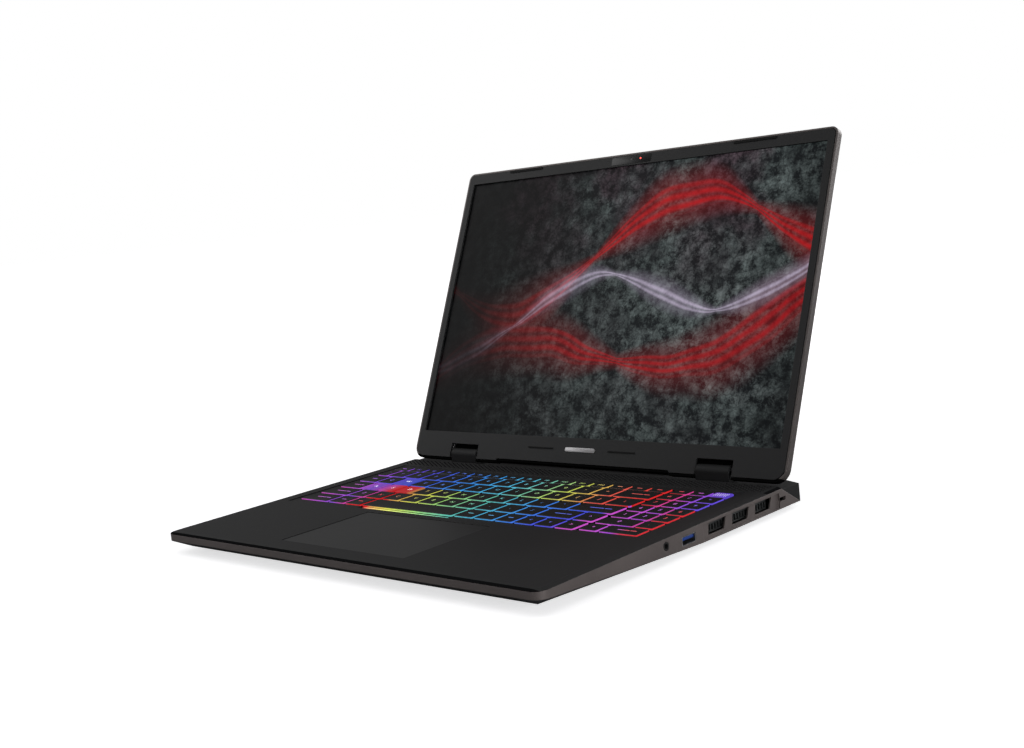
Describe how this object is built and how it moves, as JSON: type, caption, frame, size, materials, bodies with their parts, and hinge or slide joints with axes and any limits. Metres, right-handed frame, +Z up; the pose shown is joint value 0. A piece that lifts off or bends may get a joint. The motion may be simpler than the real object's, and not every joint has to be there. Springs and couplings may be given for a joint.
{
  "type": "laptop computer",
  "caption": "Open clamshell laptop with a hinged screen, lit keyboard with number pad, press touchpad, side vents and sockets, and a detailed inner build.",
  "frame": {"origin": "centre of the bounding box at the underside of the feet, with the lid at its rest angle", "axes": "+X to the user's right along the hinge line, +Y to the rear, +Z up"},
  "size_m": [0.359, 0.345, 0.2445],
  "materials": {
    "deck_black": "matte black anodised",
    "frame_grey": "satin grey-brown paint",
    "bottom_black": "fine matte texture",
    "rear_black": "fine matte texture",
    "plate_metal": "painted sheet",
    "light_sheet": "clear light guide",
    "pad_surface": "matte etched",
    "board_green": "solder mask",
    "chip": "moulded",
    "copper_pipe": "copper, satin",
    "fin_metal": "thin stamped",
    "battery_wrap": "foil pouch in black wrap",
    "inner_plastic": "moulded",
    "socket_steel": "stamped",
    "foot_rubber": "matte",
    "screw_steel": "black oxide",
    "hinge_steel": "satin",
    "lid_metal": "satin grey-brown anodised",
    "bezel_black": "fine matte texture",
    "screen": "display panel, semi-matte",
    "camera_glass": "smoked window",
    "key_black": "fine matte top, glowing legends",
    "key_clear": "translucent, lit from below"
  },
  "bodies": {
    "base": {"top_case": "deck_black", "side_frame": "frame_grey", "bottom_cover": "bottom_black", "rear_housing": "rear_black", "keyboard_plate": "plate_metal", "keyboard_backlight": "light_sheet", "touchpad_board": "board_green", "motherboard": "board_green", "processor": "chip", "graphics_chip": "chip", "heat_pipes": "copper_pipe", "rear_fins": "fin_metal", "side_fins": "fin_metal", "battery_pack": "battery_wrap", "ssd_module": "board_green", "memory_modules": "board_green", "wireless_card": "board_green", "speakers": "inner_plastic", "fan_housing_left": "inner_plastic", "fan_housing_right": "inner_plastic", "data_ports": "socket_steel", "small_ports": "socket_steel", "video_port": "socket_steel", "power_jack": "inner_plastic", "audio_jack": "inner_plastic", "rubber_foot_front": "foot_rubber", "rubber_foot_rear": "foot_rubber", "bottom_screws": "screw_steel", "hinge_bracket_base_left": "hinge_steel", "hinge_bracket_base_right": "hinge_steel", "hinge_cover_left": "rear_black", "hinge_cover_right": "rear_black"},
    "lid": {"lid_cover": "lid_metal", "screen_bezel": "bezel_black", "lcd_panel": "screen", "webcam_module": "camera_glass", "bezel_strips": "foot_rubber", "hinge_bracket_lid_left": "hinge_steel", "hinge_bracket_lid_right": "hinge_steel", "hinge_pins": "hinge_steel"},
    "touchpad": {"touchpad": "pad_surface"},
    "fan_left": {"fan_rotor_left": "inner_plastic"},
    "fan_right": {"fan_rotor_right": "inner_plastic"},
    "keys_function_row_body": {"keys_function_row": "key_black"},
    "keys_number_row_body": {"keys_number_row": "key_black"},
    "keys_letter_row_body": {"keys_letter_row": "key_black"},
    "keys_home_row_body": {"keys_home_row": "key_black"},
    "keys_shift_row_body": {"keys_shift_row": "key_black"},
    "keys_bottom_row_body": {"keys_bottom_row": "key_black"},
    "keys_number_pad_body": {"keys_number_pad": "key_black"},
    "key_w_body": {"key_w": "key_clear"},
    "key_a_body": {"key_a": "key_clear"},
    "key_s_body": {"key_s": "key_clear"},
    "key_d_body": {"key_d": "key_clear"},
    "key_space_body": {"key_space": "key_black"},
    "key_enter_body": {"key_enter": "key_black"},
    "key_backspace_body": {"key_backspace": "key_black"},
    "key_power_body": {"key_power": "key_clear"}
  },
  "joints": [
    {"name": "lid_hinge", "type": "hinge", "parent": "base", "child": "lid", "pos_m": [0, 0.07001, 0.02231], "axis": [-1, 0, 0], "range_deg": [-114.9, 28]},
    {"name": "keys_function_row_press", "type": "slide", "parent": "base", "child": "keys_function_row_body", "axis": [0, 0.0087, -1], "range_m": [0, 0.0015], "stiffness_N_per_m": 400, "springref_m": -0.001},
    {"name": "keys_number_row_press", "type": "slide", "parent": "base", "child": "keys_number_row_body", "axis": [0, 0.0087, -1], "range_m": [0, 0.0015], "stiffness_N_per_m": 400, "springref_m": -0.001},
    {"name": "keys_letter_row_press", "type": "slide", "parent": "base", "child": "keys_letter_row_body", "axis": [0, 0.0087, -1], "range_m": [0, 0.0015], "stiffness_N_per_m": 400, "springref_m": -0.001},
    {"name": "keys_home_row_press", "type": "slide", "parent": "base", "child": "keys_home_row_body", "axis": [0, 0.0087, -1], "range_m": [0, 0.0015], "stiffness_N_per_m": 400, "springref_m": -0.001},
    {"name": "keys_shift_row_press", "type": "slide", "parent": "base", "child": "keys_shift_row_body", "axis": [0, 0.0087, -1], "range_m": [0, 0.0015], "stiffness_N_per_m": 400, "springref_m": -0.001},
    {"name": "keys_bottom_row_press", "type": "slide", "parent": "base", "child": "keys_bottom_row_body", "axis": [0, 0.0087, -1], "range_m": [0, 0.0015], "stiffness_N_per_m": 400, "springref_m": -0.001},
    {"name": "keys_number_pad_press", "type": "slide", "parent": "base", "child": "keys_number_pad_body", "axis": [0, 0.0087, -1], "range_m": [0, 0.0015], "stiffness_N_per_m": 400, "springref_m": -0.001},
    {"name": "key_w_press", "type": "slide", "parent": "base", "child": "key_w_body", "axis": [0, 0.0087, -1], "range_m": [0, 0.0015], "stiffness_N_per_m": 200, "springref_m": -0.001},
    {"name": "key_a_press", "type": "slide", "parent": "base", "child": "key_a_body", "axis": [0, 0.0087, -1], "range_m": [0, 0.0015], "stiffness_N_per_m": 200, "springref_m": -0.001},
    {"name": "key_s_press", "type": "slide", "parent": "base", "child": "key_s_body", "axis": [0, 0.0087, -1], "range_m": [0, 0.0015], "stiffness_N_per_m": 200, "springref_m": -0.001},
    {"name": "key_d_press", "type": "slide", "parent": "base", "child": "key_d_body", "axis": [0, 0.0087, -1], "range_m": [0, 0.0015], "stiffness_N_per_m": 200, "springref_m": -0.001},
    {"name": "key_space_press", "type": "slide", "parent": "base", "child": "key_space_body", "axis": [0, 0.0087, -1], "range_m": [0, 0.0015], "stiffness_N_per_m": 200, "springref_m": -0.001},
    {"name": "key_enter_press", "type": "slide", "parent": "base", "child": "key_enter_body", "axis": [0, 0.0087, -1], "range_m": [0, 0.0015], "stiffness_N_per_m": 200, "springref_m": -0.001},
    {"name": "key_backspace_press", "type": "slide", "parent": "base", "child": "key_backspace_body", "axis": [0, 0.0087, -1], "range_m": [0, 0.0015], "stiffness_N_per_m": 200, "springref_m": -0.001},
    {"name": "key_power_press", "type": "slide", "parent": "base", "child": "key_power_body", "axis": [0, 0.0087, -1], "range_m": [0, 0.0015], "stiffness_N_per_m": 200, "springref_m": -0.001},
    {"name": "touchpad_press", "type": "slide", "parent": "base", "child": "touchpad", "axis": [0, 0.0087, -1], "range_m": [0, 0.0003], "stiffness_N_per_m": 3000, "springref_m": -0.0004},
    {"name": "fan_left_spin", "type": "hinge", "parent": "base", "child": "fan_left", "pos_m": [-0.127, 0.00847, 0.0084], "axis": [0, 0, 1], "continuous": true},
    {"name": "fan_right_spin", "type": "hinge", "parent": "base", "child": "fan_right", "pos_m": [0.127, 0.00847, 0.0084], "axis": [0, 0, 1], "continuous": true}
  ]
}
